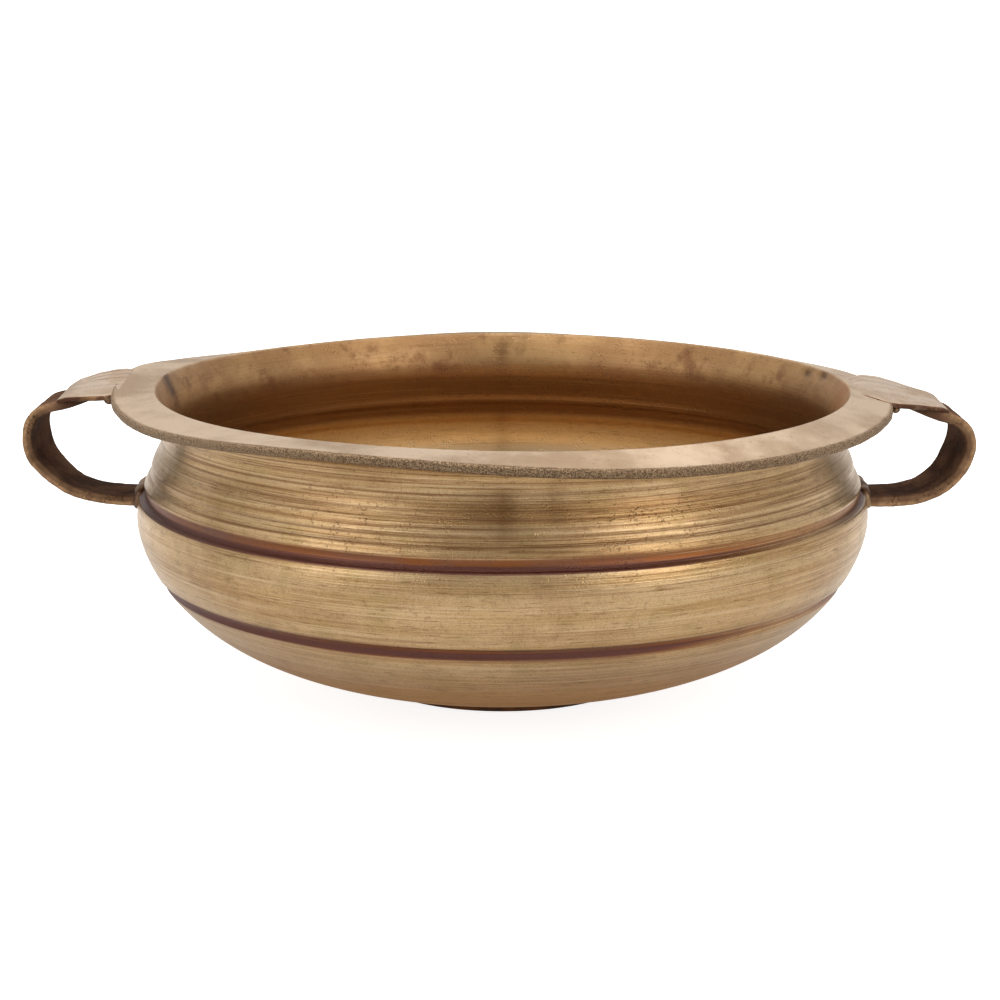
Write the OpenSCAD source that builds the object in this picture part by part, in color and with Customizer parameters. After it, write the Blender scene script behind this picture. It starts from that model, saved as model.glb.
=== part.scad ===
// Urli: a wide, shallow brass vessel with a flared rim, two turned grooves
// round its belly, a low ring foot and two bent strap handles.
// The origin is on the surface it stands on, under the middle of the bowl.
// +X runs towards the right handle and +Z is up. All sizes are millimetres.

/* [Bowl] */
// Outer radius of the flat rim
rim_r = 165; // [160:0.5:170]
// Height of the rim's outer top edge
rim_h = 125.7; // [123:0.1:129]
// Thickness of the rim at its edge
rim_t = 4; // [3:0.1:5]
// How much higher the rim's inner edge is than its outer edge
rim_rise = 2; // [1:0.1:3]
// Radius of the mouth, at the rim's inner edge
mouth_r = 146.8; // [146:0.1:149]
// Largest radius of the belly, outside
belly_r = 156; // [154:0.5:158]
// Height of the belly's widest line
belly_z = 74; // [72:0.5:76]
// Height of the bowl's underside, above the ground
bottom_z = 4.5; // [4:0.1:5.5]
// Thickness of the wall
wall = 3; // [2.4:0.1:3.4]
// Thickness of the bottom
floor_t = 3.5; // [2.5:0.1:4.5]
// Roundness of the lower belly, sideways
belly_round = 3.2; // [2.8:0.1:3.6]
// Roundness of the lower belly, downwards
belly_fall = 1.7; // [1.5:0.05:1.9]

/* [Neck] */
// Height of the shoulder, where the belly steps in to the neck
shoulder_z = 90.5; // [89.5:0.1:91.5]
// Radius at the shoulder
shoulder_r = 151.4; // [151:0.1:152]
// Height of the foot of the neck
neck_z = 94.5; // [94:0.1:95.5]
// Radius at the foot of the neck
neck_r = 149.4; // [149:0.1:150]
// Height of the waist, the narrowest part of the neck
waist_z = 109; // [107:0.1:110]
// Radius of the waist, outside
waist_r = 144.5; // [144:0.1:145.5]

/* [Turned grooves] */
// Height of the upper groove
upper_groove_z = 85.6; // [84.5:0.1:86]
// Height of the lower groove
lower_groove_z = 49.6; // [46:0.1:54]
// Radius of the tool that turned the grooves
groove_r = 3.4; // [2.5:0.1:4]
// Depth of the grooves
groove_depth = 1.5; // [0.8:0.1:1.8]

/* [Foot] */
// Outer radius of the ring foot
foot_r = 60; // [50:0.5:66]
// Width of the ring foot's wall
foot_w = 7; // [5:0.5:10]

/* [Handles] */
// Reach of a handle, from the bowl's axis to its outermost face
handle_reach = 202; // [199:0.5:205]
// Width of a strap at its top
strap_w = 34; // [30:0.5:36]
// Width of a strap where it meets the belly
strap_root_w = 28; // [24:0.5:30]
// Thickness of a strap
strap_t = 3.4; // [3:0.1:3.8]
// Height at which a strap meets the belly
strap_root_z = 77.6; // [76:0.1:79]
// Angle at which a strap falls towards the belly
strap_fall = 6.8; // [4:0.1:9]
// Distance from the bowl's axis to the end of a rim plate
plate_tip = 188; // [186:0.5:189]
// Half the width of a rim plate at the rim
plate_root_half = 24; // [22:0.5:26]
// Half the width of a rim plate at its end
plate_tip_half = 17; // [15:0.5:18]
// Thickness of a rim plate at the rim
plate_root_t = 2.2; // [1.8:0.1:2.8]
// Thickness of a rim plate at its end
plate_tip_t = 1.7; // [1.4:0.1:2]
// How far the left plate falls between the rim and its end
left_fall = 2.8; // [1.5:0.1:4]
// How far the right plate falls between the rim and its end
right_fall = 5.6; // [4:0.1:6.5]
// Thickness of the right plate's lap over the rim
lap_t = 1; // [0.6:0.1:1.4]
// Distance from the bowl's axis to the inner end of the right plate's lap
lap_r = 149.5; // [149:0.1:154]

/* [Hidden] */
$fn = 144;

brass = [0.72, 0.58, 0.38];
pale_brass = [0.76, 0.68, 0.56];
dark_brass = [0.36, 0.27, 0.20];
braze_colour = [0.66, 0.52, 0.28];

belly_steps = 20;      // points along the lower belly
side_step = 1.5;       // height between points up the side of the bowl
turn_steps = 6;        // points round a small arc
edge_round = 1;        // corner taken off the rim's edge
crest_z = rim_h + rim_rise;
rim_under_z = rim_h - rim_t;
flare_r = 153;         // radius where the neck has flared into the rim's underside
flare_z = waist_z + 2; // height where the neck starts to flare
flare_rise = 0.6;      // the rim's underside is this much higher at flare_r than at its edge
throat_top = crest_z - edge_round / 2;

scarf_start = 169;     // distance from the axis to the feather edge of a strap's scarf
bend_start = 191;      // distance from the axis to where a strap starts to bend down
root_end = 148;        // a strap is drawn this far in, and cut to fit the belly
bead = 3;              // leg of a braze fillet
cheek_t = 1.6;         // thickness of a braze cheek beside a strap's end
cheek_gap = 0.4;       // clearance of a cheek, because the strap widens upwards
scarf_feather_t = 0.8; // strap thickness at the feather edge of the scarf

// A value that eases from 0 to 1 as t goes from 0 to 1
function ease(t) = t * t * (3 - 2 * t);

// A value part way between a and b
function mix(a, b, t) = a + (b - a) * t;

// A list of points in the opposite order
function reversed(p) = [for (i = [len(p) - 1:-1:0]) p[i]];

// Points of an arc about centre c, from angle a to angle b
function arc(c, r, a, b) = [for (i = [0:turn_steps])
    let (t = mix(a, b, i / turn_steps)) [c[0] + r * cos(t), c[1] + r * sin(t)]];

// Lower belly, a superellipse from the middle of the bottom to the widest line
function lower_belly(r, depth) = [for (i = [0:belly_steps])
    let (a = 90 - 90 * i / belly_steps)
    [r * pow(cos(a), 2 / belly_round), belly_z - depth * pow(sin(a), 2 / belly_fall)]];

// Outer radius of the side at height z, from the widest line up to the waist
function side_r(z) =
    z < shoulder_z
        ? belly_r - (belly_r - shoulder_r) * pow((z - belly_z) / (shoulder_z - belly_z), 2)
    : z < neck_z ? mix(shoulder_r, neck_r, ease((z - shoulder_z) / (neck_z - shoulder_z)))
    : mix(neck_r, waist_r, ease(min(1, (z - neck_z) / (waist_z - neck_z))));

// Side of the bowl, moved in by inset
function side_line(inset) = [for (z = [belly_z + side_step:side_step:waist_z])
    [side_r(z) - inset, z]];

// Neck flaring out into the underside of the rim, a quarter of an ellipse
function outer_flare() = [for (i = [0:turn_steps])
    let (a = 90 * i / turn_steps)
    [mix(waist_r, flare_r, 1 - cos(a)),
     mix(flare_z, rim_under_z + flare_rise, sin(a))]];

// Throat opening from the waist to the sharp inner edge of the rim
function throat() = [for (i = [0:turn_steps])
    let (t = i / turn_steps)
    [mix(waist_r - wall, mouth_r, pow(t, 1.5)), mix(flare_z + 1, throat_top, t)]];

// Outline of the bowl seen as if it were solid
module outer_outline() {
    polygon(concat(
        lower_belly(belly_r, belly_z - bottom_z),
        side_line(0),
        outer_flare(),
        [[rim_r - edge_round, rim_under_z],
         [rim_r, rim_under_z + edge_round],
         [rim_r, rim_h - edge_round],
         [rim_r - edge_round, rim_h],
         [mouth_r + edge_round, crest_z],
         [mouth_r, throat_top],
         [0, throat_top]]));
}

// Outline of the space inside the bowl
module inner_outline() {
    polygon(concat(
        lower_belly(belly_r - wall, belly_z - bottom_z - floor_t),
        side_line(wall),
        throat(),
        [[mouth_r, crest_z + 1], [0, crest_z + 1]]));
}

// Where the turning tool's centre ran for a groove at height z
function lower_side_r(z) = belly_r
    * pow(1 - pow((belly_z - z) / (belly_z - bottom_z), belly_fall), 1 / belly_round);
function groove_centre(z) = [
    (z < belly_z ? lower_side_r(z) : side_r(z)) + groove_r - groove_depth, z];
groove_centres = [groove_centre(upper_groove_z), groove_centre(lower_groove_z)];

// The bowl as a solid of revolution, for cutting other pieces to fit it
module bowl_envelope() {
    rotate_extrude($fn = 360) outer_outline();
}

// Body: bottom, belly, neck and rim in one casting. Behind each groove the
// wall stands inwards as a ridge, so that it keeps its thickness.
module bowl_body() {
    color(brass)
    rotate_extrude()
    difference() {
        union() {
            difference() {
                outer_outline();
                inner_outline();
            }
            intersection() {
                outer_outline();
                for (c = groove_centres) translate(c) circle(r = groove_r + wall);
            }
        }
        for (c = groove_centres) translate(c) circle(r = groove_r);
    }
}

// Ring foot, cut to sit against the curved underside
module foot_ring() {
    color(dark_brass)
    difference() {
        cylinder(r = foot_r, h = 3 * bottom_z);
        translate([0, 0, -1]) cylinder(r = foot_r - foot_w, h = 3 * bottom_z + 2);
        bowl_envelope();
    }
}

// Extrudes an outline drawn in the XZ plane to a width across Y
module across(width) {
    translate([0, width / 2, 0]) rotate([90, 0, 0]) linear_extrude(width) children();
}

// Top of a rim plate at distance u from the axis
function plate_top(u, fall) = rim_h - fall * (u - rim_r) / (plate_tip - rim_r);

// Underside of a rim plate, on which the strap's scarf lies
function plate_under(u, fall) =
    plate_top(u, fall) - mix(plate_root_t, plate_tip_t, (u - rim_r) / (plate_tip - rim_r));

// Rim plate: a leaf-shaped tongue. With a lap it also runs in over the rim.
module rim_plate(fall, lap) {
    inner = lap > 0 ? lap_r : rim_r - 1;
    color(pale_brass)
    difference() {
        intersection() {
            across(3 * plate_root_half) polygon([
                [inner, rim_h - plate_root_t],
                [rim_r, rim_h - plate_root_t],
                [plate_tip, plate_under(plate_tip, fall)],
                [plate_tip, plate_top(plate_tip, fall)],
                [rim_r, rim_h + lap],
                [inner, rim_h + lap + rim_rise * (rim_r - inner) / (rim_r - mouth_r)]]);
            linear_extrude(2 * rim_h) leaf_outline(inner);
        }
        bowl_envelope();
    }
}

// Plan of a rim plate: nearly straight at the rim, then tapering to its end
module leaf_outline(inner) {
    shoulder_u = mix(rim_r, plate_tip, 0.45);
    shoulder_half = mix(plate_root_half, plate_tip_half, 0.3);
    half = [[inner, plate_root_half - 1], [rim_r, plate_root_half],
            [shoulder_u, shoulder_half], [plate_tip, plate_tip_half]];
    polygon(concat(half, reversed([for (p = half) [p[0], -p[1]]])));
}

// Slope of a rim plate's underside, as an angle
function plate_angle(fall) = atan2(
    plate_under(rim_r, fall) - plate_under(plate_tip, fall), plate_tip - rim_r);

// A strap's face at depth d below its outer face. It leaves the end of the
// scarf along the plate, turns down through a small arc, comes back through
// a larger one, and runs straight to the belly.
function strap_face(fall, d) =
    let (
        slope = plate_angle(fall),
        start = [bend_start, plate_under(bend_start, fall)],
        upper_r = (handle_reach - start[0]) / (1 - sin(slope)),
        upper_c = [handle_reach - upper_r, start[1] - upper_r * cos(slope)],
        run = handle_reach - belly_r + wall,
        lower_r = (upper_c[1] - strap_root_z - tan(strap_fall) * run)
            / (cos(strap_fall) - tan(strap_fall) * (1 - sin(strap_fall))),
        lower_c = [handle_reach - lower_r, upper_c[1]],
        last = lower_c + (lower_r - d) * [sin(strap_fall), -cos(strap_fall)])
    concat(
        arc(upper_c, upper_r - d, 90 - slope, 0),
        arc(lower_c, lower_r - d, 0, strap_fall - 90),
        [[root_end, last[1] - tan(strap_fall) * (last[0] - root_end)]]);

// Strap handle: one bent strip, scarfed thin where it lies under the plate,
// a little narrower where it meets the belly
module handle_strap(fall) {
    outer = concat([[scarf_start, plate_under(scarf_start, fall)]], strap_face(fall, 0));
    inner = concat(
        [[scarf_start, plate_under(scarf_start, fall) - scarf_feather_t]],
        strap_face(fall, strap_t));
    color(dark_brass)
    difference() {
        intersection() {
            across(strap_w) polygon(concat(outer, reversed(inner)));
            rotate([90, 0, 90]) linear_extrude(handle_reach + 1) polygon([
                [-strap_root_w / 2, strap_root_z],
                [strap_root_w / 2, strap_root_z],
                [strap_w / 2, rim_under_z],
                [strap_w / 2, rim_h],
                [-strap_w / 2, rim_h],
                [-strap_w / 2, rim_under_z]]);
        }
        bowl_envelope();
    }
}

// Braze in the corner under a plate, against the edge of the rim
module rim_braze(fall) {
    tail_u = scarf_start - 0.5;
    color(braze_colour)
    difference() {
        across(2 * plate_root_half - 2 * bead) polygon([
            [rim_r - 1, rim_under_z + edge_round],
            [rim_r + 0.3, rim_under_z + edge_round],
            [rim_r + bead / 2, plate_under(rim_r + bead / 2, fall) - bead / 3],
            [tail_u, plate_under(tail_u, fall)],
            [rim_r, plate_under(rim_r, fall)],
            [rim_r - 1, plate_under(rim_r, fall)]]);
        bowl_envelope();
    }
}

// Braze where a strap meets the belly: a fillet above it and one below it,
// joined by a cheek on each side of the strap
module belly_braze(fall) {
    upper = strap_face(fall, strap_t);
    lower = strap_face(fall, 0);
    last_upper = upper[len(upper) - 1];
    last_lower = lower[len(lower) - 1];
    meet = belly_r - bead / 2;
    rise = tan(strap_fall) * (meet + bead - root_end);
    above = [last_upper + [0, 2 * bead],
             [meet - bead, last_upper[1] + 2 * bead],
             [meet + bead, last_upper[1] + rise]];
    below = [[meet + bead, last_lower[1] + rise],
             [meet + bead / 2, last_lower[1] - bead],
             last_lower - [0, bead]];
    color(braze_colour)
    difference() {
        union() {
            across(strap_root_w + 2 * cheek_gap + 2 * cheek_t) {
                polygon(concat([last_upper], above));
                polygon(concat([last_lower], below));
            }
            for (side = [-1, 1])
                translate([0, side * (strap_root_w / 2 + cheek_gap + cheek_t / 2), 0])
                    across(cheek_t) polygon(concat(above, below));
        }
        bowl_envelope();
    }
}

bowl_body();
foot_ring();
mirror([1, 0, 0]) rim_plate(left_fall, 0);  // left_rim_plate
rim_plate(right_fall, lap_t);  // right_rim_plate
mirror([1, 0, 0]) handle_strap(left_fall);  // left_handle_strap
handle_strap(right_fall);  // right_handle_strap
mirror([1, 0, 0]) rim_braze(left_fall);  // left_rim_braze
rim_braze(right_fall);  // right_rim_braze
mirror([1, 0, 0]) belly_braze(left_fall);  // left_belly_braze
belly_braze(right_fall);  // right_belly_braze
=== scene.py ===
# %% [markdown]
# # A brass urli
#
# An urli is a wide, shallow bowl of cast brass from South India, turned on a
# lathe and carried by two bent strap handles. This lesson rebuilds its looks
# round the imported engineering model. The model gives every position, so each
# piece below is made where it belongs and is never moved afterwards.

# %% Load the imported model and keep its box
import math

import bpy
import numpy as np
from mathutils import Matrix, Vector


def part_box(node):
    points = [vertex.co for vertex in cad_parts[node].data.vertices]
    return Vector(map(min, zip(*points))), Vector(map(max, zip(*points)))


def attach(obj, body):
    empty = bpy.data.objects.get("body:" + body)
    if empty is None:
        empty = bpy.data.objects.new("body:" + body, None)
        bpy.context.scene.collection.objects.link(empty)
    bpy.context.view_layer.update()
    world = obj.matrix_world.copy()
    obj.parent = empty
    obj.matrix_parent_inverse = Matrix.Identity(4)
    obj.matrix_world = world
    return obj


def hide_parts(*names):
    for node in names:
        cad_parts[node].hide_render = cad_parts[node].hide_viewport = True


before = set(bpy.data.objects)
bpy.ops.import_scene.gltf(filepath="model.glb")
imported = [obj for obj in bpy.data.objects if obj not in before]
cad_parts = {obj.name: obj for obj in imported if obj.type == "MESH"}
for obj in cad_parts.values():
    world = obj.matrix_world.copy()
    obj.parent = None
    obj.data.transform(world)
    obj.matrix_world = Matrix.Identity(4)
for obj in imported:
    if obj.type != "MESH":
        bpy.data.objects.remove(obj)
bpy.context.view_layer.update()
MM = 0.001

print("nodes:", sorted(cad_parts))


# %% [markdown]
# ## Camera
#
# The camera is a long lens a metre away, a little above the rim, as for a
# catalogue picture. A long lens keeps the two handles the same size. Depth of
# field stays off, because the bowl is sharp from front to back.

# %% Place the camera
CAMERA_DISTANCE = 1.02        # metres from the point it looks at
CAMERA_RISE = math.radians(12.49)
CAMERA_AIM = Vector((-0.00108, 0.0, 0.0767))

back_and_up = Vector((0, -math.cos(CAMERA_RISE), math.sin(CAMERA_RISE)))
lens = bpy.data.cameras.new("catalogue_camera")
lens.lens = 85.1
lens.sensor_width = 36
camera = bpy.data.objects.new("catalogue_camera", lens)
camera.location = CAMERA_AIM + back_and_up * CAMERA_DISTANCE
camera.rotation_mode = "QUATERNION"
camera.rotation_quaternion = (-back_and_up).to_track_quat("-Z", "Y")
bpy.context.scene.collection.objects.link(camera)
bpy.context.scene.camera = camera
print("camera at", [round(v, 3) for v in camera.location])


# %% [markdown]
# ## Turning numbers into a mesh
#
# Every piece here is a grid: rows of rings, each ring a closed loop of points.
# A bowl is rings of different radius, and a strap is rings of the same section
# carried along a path. One helper joins neighbouring rings with four-sided
# faces, closes both ends with a fan, and turns the faces outwards by looking
# at the sign of the volume they enclose.

# %% The helper that makes a piece
def ring_faces(rows, columns, joined):
    """Corner numbers of the quads between each ring and the next; with joined
    the last ring meets the first, as round a tyre."""
    row = np.arange(rows if joined else rows - 1)[:, None]
    column = np.arange(columns)[None, :]
    following = (row + 1) % rows
    beside = (column + 1) % columns
    return np.stack([row * columns + column, row * columns + beside,
                     following * columns + beside, following * columns + column],
                    axis=-1).reshape(-1, 4)


def end_fans(rows, columns):
    """Corner numbers of the triangles that close the first and last ring."""
    column = np.arange(columns)
    beside = (column + 1) % columns
    first = np.stack([np.full(columns, rows * columns), beside, column], axis=-1)
    start = (rows - 1) * columns
    last = np.stack([np.full(columns, rows * columns + 1),
                     start + column, start + beside], axis=-1)
    return np.concatenate([first, last])


def enclosed_volume(points, quads):
    """Six times the volume inside the faces, the sum of a . (b x c)."""
    a, b, c, d = (points[quads[:, k]] for k in range(4))
    return np.sum(a * np.cross(b, c)) + np.sum(a * np.cross(c, d))


def make_piece(name, rings, marks, joined=False):
    """A mesh object from rings of points in millimetres, shape (rows, columns,
    3). marks are named values per point, for the materials to read."""
    rows, columns = rings.shape[:2]
    points = rings.reshape(-1, 3)
    quads = ring_faces(rows, columns, joined)
    flip = enclosed_volume(points, quads) < 0
    fans = np.empty((0, 3), int)
    if not joined:
        points = np.concatenate([points, rings[[0, -1]].mean(axis=1)])
        fans = end_fans(rows, columns)
    if flip:
        quads, fans = quads[:, ::-1], fans[:, ::-1]
    mesh = bpy.data.meshes.new(name)
    mesh.from_pydata((points * MM).tolist(), [], quads.tolist() + fans.tolist())
    mesh.shade_smooth()
    for mark, values in marks.items():
        values = np.broadcast_to(values, (rows, columns))
        flat = values.ravel()
        if not joined:
            flat = np.concatenate([flat, values[[0, -1]].mean(axis=1)])
        layer = mesh.attributes.new(mark, "FLOAT", "POINT")
        layer.data.foreach_set("value", flat.astype(np.float32))
    made = bpy.data.objects.new(name, mesh)
    bpy.context.scene.collection.objects.link(made)
    print(name, "points", len(points), "faces", len(mesh.polygons))
    return made


# %% [markdown]
# Some small functions are wanted everywhere: an easing step, a soft minimum
# that rounds the corner where two curves cross, a bump shaped like a bell, and
# some unevenness. The unevenness is a few sine waves that cross at odd
# angles, so it needs no random numbers and never changes between runs.

# %% Small functions
def ease(value, low, high):
    """0 below low and 1 above high, with a smooth S between."""
    t = np.clip((value - low) / (high - low), 0, 1)
    return t * t * (3 - 2 * t)


def soft_min(a, b, blend):
    """The smaller of a and b, with the corner between them rounded."""
    return -blend * np.logaddexp(-a / blend, -b / blend)


def bell(value, centre, width):
    """1 at the centre, falling away as a bell curve."""
    return np.exp(-((value - centre) / width) ** 2)


def unevenness(x, y, z, size, turn=0.0):
    """Between about -1 and 1: four sine waves of wavelength near size that
    run in different directions; turn shifts them for another piece."""
    k = 2 * math.pi / size
    return (np.sin(k * (x + 0.37 * y) + 1.3 + turn)
            + np.sin(k * (0.81 * y - 0.45 * z) + 2.1 * turn)
            + np.sin(k * (0.93 * z + 0.52 * x) * 1.27 + 0.7 * turn)
            + np.sin(k * (x - y + z) * 0.61 + 4.2 - turn)) / 3


# %% [markdown]
# ## The outline of the bowl
#
# The bowl is drawn as the lathe saw it, as one contour of radius and height.
# It starts under the middle, climbs the belly, steps in at the shoulder, goes
# up the neck, round the rim, down the throat and back to the middle inside.
# The lower belly is a superellipse, fuller than an ellipse at the sides and
# flatter at the bottom, which is what gives an urli its heavy, settled look.

# %% Sizes of the bowl, in millimetres
RIM_R = 165.0
RIM_H = 125.7
RIM_T = 4.0
CREST = RIM_H + 2.0
MOUTH_R = 146.8
BELLY_R = 156.0
BELLY_Z = 74.0
UNDER_Z = 4.5
WALL = 3.0
FLOOR_T = 3.5
SHOULDER_Z, SHOULDER_R = 90.5, 151.4
NECK_Z, NECK_R = 94.5, 149.4
WAIST_Z, WAIST_R = 109.0, 144.5
FLARE_Z, FLARE_R = 111.0, 153.0
FLARE_TOP = RIM_H - RIM_T + 0.6
UPPER_GROOVE, LOWER_GROOVE = 85.6, 49.6
TOOL_R, GROOVE_DEPTH = 3.4, 1.5
print("rim", 2 * RIM_R, "mm wide and", RIM_H, "mm high")


def lower_belly(radius, depth, turn):
    """Superellipse r = radius cos(a)^(2/3.2), z = 74 - depth sin(a)^(2/1.7)."""
    r = radius * np.cos(turn) ** (2 / 3.2)
    z = BELLY_Z - depth * np.sin(turn) ** (2 / 1.7)
    return r, z


def side_radius(z):
    """A parabola from the belly to the shoulder, then two eased steps, one in
    to the foot of the neck and one in to the waist."""
    belly = BELLY_R - (BELLY_R - SHOULDER_R) * ((z - BELLY_Z) / (SHOULDER_Z - BELLY_Z)) ** 2
    step = SHOULDER_R + (NECK_R - SHOULDER_R) * ease(z, SHOULDER_Z, NECK_Z)
    neck = NECK_R + (WAIST_R - NECK_R) * ease(z, NECK_Z, WAIST_Z)
    return np.where(z < SHOULDER_Z, belly, np.where(z < NECK_Z, step, neck))


def turned_hollow(distance, reach, lift):
    """Depth of a groove at a distance from its middle along the contour: a
    circle of radius reach whose centre stands lift off the surface, so
    sqrt(reach^2 - distance^2) - lift, and softly 0 beyond."""
    circle = np.sqrt(np.clip(reach ** 2 - distance ** 2, 0, None)) - lift
    return -soft_min(-circle, 0 * circle, 0.12)


# %% Corners and straight runs
FINE = 1500                   # steps of each long run
quarter = np.linspace(0, math.pi / 2, FINE)


def round_corner(r, z, radius, start):
    """A quarter circle about (r, z), running anticlockwise from start."""
    turn = start + quarter[::10]
    return r + radius * np.cos(turn), z + radius * np.sin(turn)


def straight(start, end):
    """A straight run between two points, 200 steps, ends left out."""
    share = np.linspace(0, 1, 202)[1:-1]
    return tuple(a + (b - a) * share for a, b in zip(start, end))


# %% Draw the contour, very finely
EDGE_ROUND = 1.5              # radius of the rim's outer edge
MOUTH_ROUND = 0.7             # radius of the sharp edge of the mouth

r_low, z_low = lower_belly(BELLY_R, BELLY_Z - UNDER_Z, quarter[::-1])
z_side = np.linspace(BELLY_Z, FLARE_Z, FINE)
outer_r = np.concatenate([r_low, side_radius(z_side)])
outer_z = np.concatenate([z_low, z_side])

# the neck flares out into the rim along a quarter of an ellipse
flare_r = WAIST_R + (FLARE_R - WAIST_R) * (1 - np.cos(quarter))
flare_z = FLARE_Z + (FLARE_TOP - FLARE_Z) * np.sin(quarter)

rim_low_r, rim_low_z = round_corner(RIM_R - EDGE_ROUND, RIM_H - RIM_T + EDGE_ROUND, EDGE_ROUND,
                                    -math.pi / 2)
rim_top_r, rim_top_z = round_corner(RIM_R - EDGE_ROUND, RIM_H - EDGE_ROUND, EDGE_ROUND, 0)
mouth_r, mouth_z = round_corner(MOUTH_R + MOUTH_ROUND, CREST - MOUTH_ROUND, MOUTH_ROUND,
                                math.pi / 2)
under_r, under_z = straight((flare_r[-1], flare_z[-1]), (rim_low_r[0], rim_low_z[0]))
flat_r, flat_z = straight((rim_top_r[-1], rim_top_z[-1]), (mouth_r[0], mouth_z[0]))

# the throat narrows from the mouth to the waist, ever more steeply
fall = np.linspace(1, 0, FINE)
throat_r = WAIST_R - WALL + (MOUTH_R - WAIST_R + WALL) * fall ** 1.5
throat_z = FLARE_Z + 1 + (CREST - MOUTH_ROUND - FLARE_Z - 1) * fall

r_low, z_low = lower_belly(BELLY_R - WALL, BELLY_Z - UNDER_Z - FLOOR_T, quarter)
inner_r = np.concatenate([side_radius(z_side[::-1]) - WALL, r_low])
inner_z = np.concatenate([z_side[::-1], z_low])

outer_parts = ((outer_r, outer_z), (flare_r, flare_z), (under_r, under_z),
               (rim_low_r, rim_low_z), (rim_top_r, rim_top_z), (flat_r, flat_z))
inner_parts = ((mouth_r, mouth_z), (throat_r, throat_z), (inner_r, inner_z))
contour_r, contour_z = (np.concatenate([part[k] for part in outer_parts + inner_parts])
                        for k in (0, 1))
outer_count = sum(len(part[0]) for part in outer_parts)
inside = 1.0 * (np.arange(len(contour_r)) >= outer_count)
print("contour of", len(contour_r), "points")


# %% Sink the grooves, and raise the ridges behind them
step = np.hypot(np.diff(contour_r), np.diff(contour_z))
walked = np.concatenate([[0], np.cumsum(step)])
tangent = np.stack([np.gradient(contour_r), np.gradient(contour_z)])
tangent = tangent / np.maximum(np.linalg.norm(tangent, axis=0), 1e-9)
sink = np.zeros_like(contour_r)
RIDGE_SHARE = 0.35            # how much of a groove's depth shows inside as a ridge
side_parts = {0: slice(0, len(outer_r)), 1: slice(len(contour_r) - len(inner_r), len(contour_r))}
for height in (UPPER_GROOVE, LOWER_GROOVE):
    for within, part in side_parts.items():
        middle = walked[part][np.argmin(np.abs(contour_z[part] - height))]
        reach = TOOL_R + WALL * within
        depth = GROOVE_DEPTH * (RIDGE_SHARE if within else 1)
        hollow = turned_hollow(walked[part] - middle, reach, reach - depth)
        sink[part] += hollow * (-1 if within else 1)
contour_r = contour_r - tangent[1] * sink
contour_z = contour_z + tangent[0] * sink
print("grooves", round(float(sink.max()), 2), "mm deep, ridges", round(float(-sink.min()), 2))


# %% [markdown]
# A contour drawn that finely would make millions of faces. It is walked again
# with a step that depends on what is there: small at the grooves, neck, rim
# and inner ridges, where light breaks, and large on the calm belly. The
# distance walked is kept too, because the turning lines of the lathe follow it.

# %% Walk the contour again with uneven steps
ROWS, COLUMNS = 318, 300
step = np.hypot(np.diff(contour_r), np.diff(contour_z))
walked = np.concatenate([[0], np.cumsum(step)])
at_groove = bell(contour_z, UPPER_GROOVE, 5) + bell(contour_z, LOWER_GROOVE, 6)
at_groove = at_groove * (contour_r > 120)
at_neck = ease(contour_z, 88, 92) * (1 - 0.6 * inside)
at_rim = ease(contour_z, 118, 121)
crowding = 1 + 4.5 * at_groove + 3.2 * at_neck + 2.2 * at_rim
weight = np.concatenate([[0], np.cumsum(step * (crowding[1:] + crowding[:-1]) / 2)])
first = np.searchsorted(contour_r[:FINE], 1.0)
stops = np.linspace(weight[first], weight[-1] - 1.0, ROWS)
ring_r, ring_z, ring_walk, ring_inside = (
    np.interp(stops, weight, each) for each in (contour_r, contour_z, walked, inside))
print("steps from", round(float(np.diff(ring_walk).min()), 2), "to",
      round(float(np.diff(ring_walk).max()), 2), "mm")


# %% [markdown]
# ## Making it a used bowl
#
# A real urli is not a perfect revolution. Its rim has been knocked into slow
# waves, lowest at the front right and highest by the left handle, and the
# flange droops with them while the mouth stays nearly flat. The waves are a
# sum of five cosines round the rim. The lathe also left shallow steps on the
# neck, which show as dark lines, and they are cut into the shape itself.

# %% Waves of the rim
RIM_SINK = -1.0
RIM_WAVES = ((1, 2.4, 189), (2, 0.9, 42), (3, 0.5, 12), (4, 1.4, -8), (5, 0.8, 24))
LIFT, LIFT_BEARING, LIFT_WIDTH = 1.4, math.radians(169), 0.16


def rim_wave(azimuth):
    """Rise of the rim's outer edge: a constant and cosines that go once to
    five times round, each with its height in mm and the bearing of a crest,
    and a small lift beside the left plate."""
    rise = RIM_SINK + 0 * azimuth
    for times, height, crest in RIM_WAVES:
        rise = rise + height * np.cos(times * (azimuth - math.radians(crest)))
    return rise + LIFT * bell(np.mod(azimuth, 2 * math.pi), LIFT_BEARING, LIFT_WIDTH)


def flange_share(r, z):
    """How much of the wave a point takes: all at the rim's edge, a fifth at the
    mouth, and none below the waist."""
    throat = WAIST_R - WALL
    return np.clip((r - throat) / (RIM_R - throat), 0, 1) * ease(z, 106, 121)


def rim_top(x, y):
    """Height of the top of the flange above a point, waves included."""
    r = np.hypot(x, y)
    flat = CREST - (CREST - RIM_H) * (r - MOUTH_R) / (RIM_R - MOUTH_R)
    return flat + rim_wave(np.arctan2(y, x)) * flange_share(r, RIM_H)


# %% Where each point of the bowl is
azimuth = np.linspace(0, 2 * math.pi, COLUMNS, endpoint=False)[None, :]
dx, dy = np.cos(azimuth), np.sin(azimuth)
r, z = ring_r[:, None], ring_z[:, None]
indoors = ring_inside[:, None]
outside = 1 - indoors


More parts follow.
